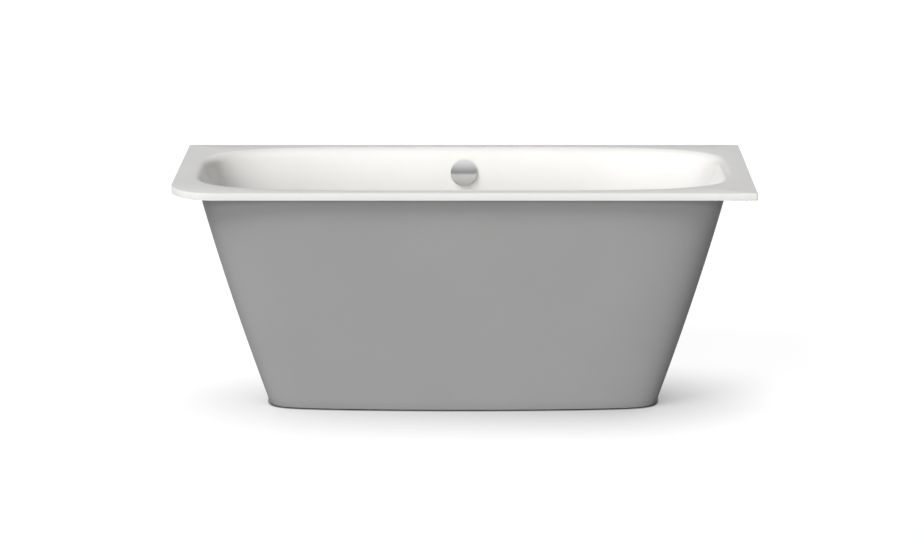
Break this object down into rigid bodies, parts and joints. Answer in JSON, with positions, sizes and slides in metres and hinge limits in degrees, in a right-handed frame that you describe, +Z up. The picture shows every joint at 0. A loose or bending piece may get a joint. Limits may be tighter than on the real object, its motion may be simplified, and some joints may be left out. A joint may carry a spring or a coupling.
{
  "type": "built-in bathtub",
  "caption": "Built-in white enamelled bathtub with a matt grey tapered apron, a turning overflow knob that lifts the drain plug, levelling feet, wall brackets, waste and trap.",
  "frame": {"origin": "on the floor under the middle of the rim", "axes": "+X along the tub to the end at the wall, -Y to the open front, +Y to the back wall, +Z up"},
  "size_m": [1.6, 0.7, 0.625],
  "materials": {
    "enamel_white": "glossy white enamel",
    "apron_grey": "matt grey with a fine grain",
    "foam_grey": "soft open foam",
    "rubber_black": "matt rubber",
    "damping_mat": "pressed bitumen mat",
    "galvanised_steel": "galvanised sheet with a faint spangle",
    "zinc_steel": "bright zinc plate",
    "foot_plastic": "moulded black plastic",
    "earth_brass": "plain brass",
    "chrome": "polished chrome",
    "stainless_steel": "turned stainless steel",
    "plastic_grey": "moulded grey plastic",
    "plastic_white": "smooth white plastic",
    "hose_plastic": "ribbed soft plastic",
    "cable_black": "drawn plastic sleeve",
    "clip_black": "moulded black plastic"
  },
  "bodies": {
    "tub": {"tub_shell": "enamel_white", "apron": "apron_grey", "apron_seal": "foam_grey", "apron_clips": "galvanised_steel", "floor_brackets": "galvanised_steel", "apron_pads": "rubber_black", "rail_left": "galvanised_steel", "rail_right": "galvanised_steel", "rail_pads": "rubber_black", "damping_mats": "damping_mat", "lock_nuts": "zinc_steel", "wall_bracket_left": "galvanised_steel", "wall_bracket_right": "galvanised_steel", "end_bracket": "galvanised_steel", "bracket_caps": "rubber_black", "earth_lug": "galvanised_steel", "earth_bolt": "earth_brass", "overflow_faceplate": "plastic_white", "overflow_gaskets": "rubber_black", "overflow_housing": "plastic_grey", "overflow_screws": "zinc_steel", "overflow_hose": "hose_plastic", "hose_nuts": "plastic_grey", "pull_cable": "cable_black", "cable_clips": "clip_black", "drain_ring": "chrome", "drain_gaskets": "rubber_black", "drain_body": "plastic_grey", "lever_pin": "stainless_steel", "trap": "plastic_white", "trap_nuts": "plastic_white", "trap_seals": "rubber_black", "outlet_pipe": "plastic_white"},
    "knob": {"overflow_knob": "chrome", "overflow_spindle": "stainless_steel"},
    "plug": {"drain_plug": "chrome", "plug_seal": "rubber_black", "plug_stem": "stainless_steel"},
    "lever": {"lift_lever": "stainless_steel"},
    "foot_front_left": {"foot_stud_front_left": "zinc_steel", "foot_pad_front_left": "foot_plastic"},
    "foot_front_right": {"foot_stud_front_right": "zinc_steel", "foot_pad_front_right": "foot_plastic"},
    "foot_back_left": {"foot_stud_back_left": "zinc_steel", "foot_pad_back_left": "foot_plastic"},
    "foot_back_right": {"foot_stud_back_right": "zinc_steel", "foot_pad_back_right": "foot_plastic"}
  },
  "joints": [
    {"name": "knob_turn", "type": "hinge", "parent": "tub", "child": "knob", "pos_m": [0, 0.28616, 0.555], "axis": [0, -0.9848, 0.1736], "range_deg": [0, 90]},
    {"name": "plug_lift", "type": "slide", "parent": "tub", "child": "plug", "axis": [0, 0, 1], "range_m": [0, 0.0101]},
    {"name": "lever_swing", "type": "hinge", "parent": "tub", "child": "lever", "pos_m": [0.024, 0.0655, 0.1517], "axis": [0, 1, 0], "range_deg": [0, 24.2]},
    {"name": "foot_front_left_height", "type": "slide", "parent": "tub", "child": "foot_front_left", "axis": [0, 0, -1], "range_m": [-0.008, 0.012]},
    {"name": "foot_front_right_height", "type": "slide", "parent": "tub", "child": "foot_front_right", "axis": [0, 0, -1], "range_m": [-0.008, 0.012]},
    {"name": "foot_back_left_height", "type": "slide", "parent": "tub", "child": "foot_back_left", "axis": [0, 0, -1], "range_m": [-0.008, 0.012]},
    {"name": "foot_back_right_height", "type": "slide", "parent": "tub", "child": "foot_back_right", "axis": [0, 0, -1], "range_m": [-0.008, 0.012]}
  ],
  "couplings": [
    {"joint": "plug_lift", "follows": "knob_turn", "m_per_rad": 0.0063662},
    {"joint": "lever_swing", "follows": "knob_turn", "ratio": 0.26722}
  ]
}
